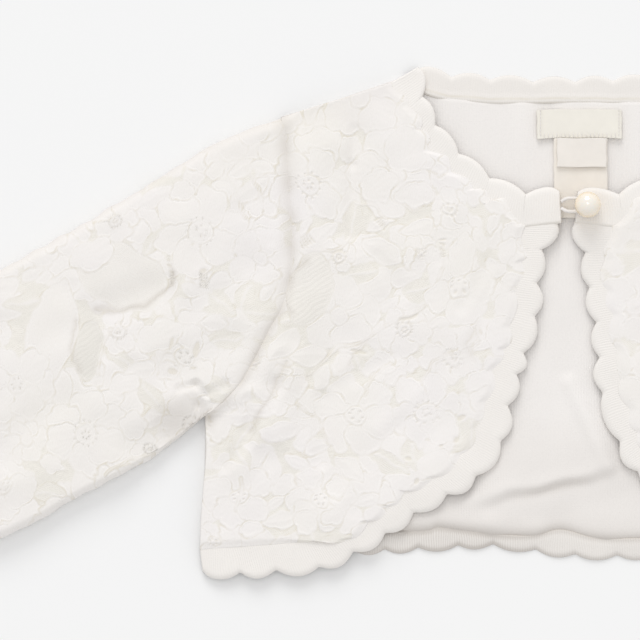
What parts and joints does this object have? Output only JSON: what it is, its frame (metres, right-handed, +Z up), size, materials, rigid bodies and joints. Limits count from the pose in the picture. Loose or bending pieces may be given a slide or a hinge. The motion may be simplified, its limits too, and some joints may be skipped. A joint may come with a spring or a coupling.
{
  "type": "cardigan",
  "caption": "Baby's cropped open-front cardigan in ivory knit with floral lace, scalloped ribbed edging and a pearl button at the neck, laid flat.",
  "frame": {"origin": "on the floor under the middle of the whole laid-out garment", "axes": "+X to the wearer's left along the spread of the sleeves, +Y from the hem to the neck, +Z up from the floor"},
  "size_m": [0.562, 0.1837, 0.0147],
  "materials": {
    "cotton_knit": "fine ivory cotton jersey, matt",
    "cotton_lace": "ivory floral lace with a soft sheen on its petals",
    "rib_edging": "fine ribbed ivory knit edging, matt",
    "label_satin": "woven cream label, faint sheen",
    "label_tape": "beige printed-tape label without print",
    "pearl": "glossy cream pearl",
    "loop_thread": "ivory twisted thread"
  },
  "bodies": {
    "root": {"back": "cotton_knit", "button_loop": "loop_thread", "care_label": "label_tape", "cuff_trim_left": "rib_edging", "cuff_trim_right": "rib_edging", "edge_trim_left": "rib_edging", "edge_trim_right": "rib_edging", "front_left": "cotton_knit", "front_right": "cotton_knit", "hem_trim_back": "rib_edging", "lace_front_left": "cotton_lace", "lace_front_right": "cotton_lace", "lace_sleeve_left": "cotton_lace", "lace_sleeve_right": "cotton_lace", "neck_label": "label_satin", "neck_trim_back": "rib_edging", "neck_trim_left": "rib_edging", "neck_trim_right": "rib_edging", "pearl_button": "pearl", "size_tab": "label_satin", "sleeve_left": "cotton_knit", "sleeve_right": "cotton_knit"}
  },
  "joints": []
}
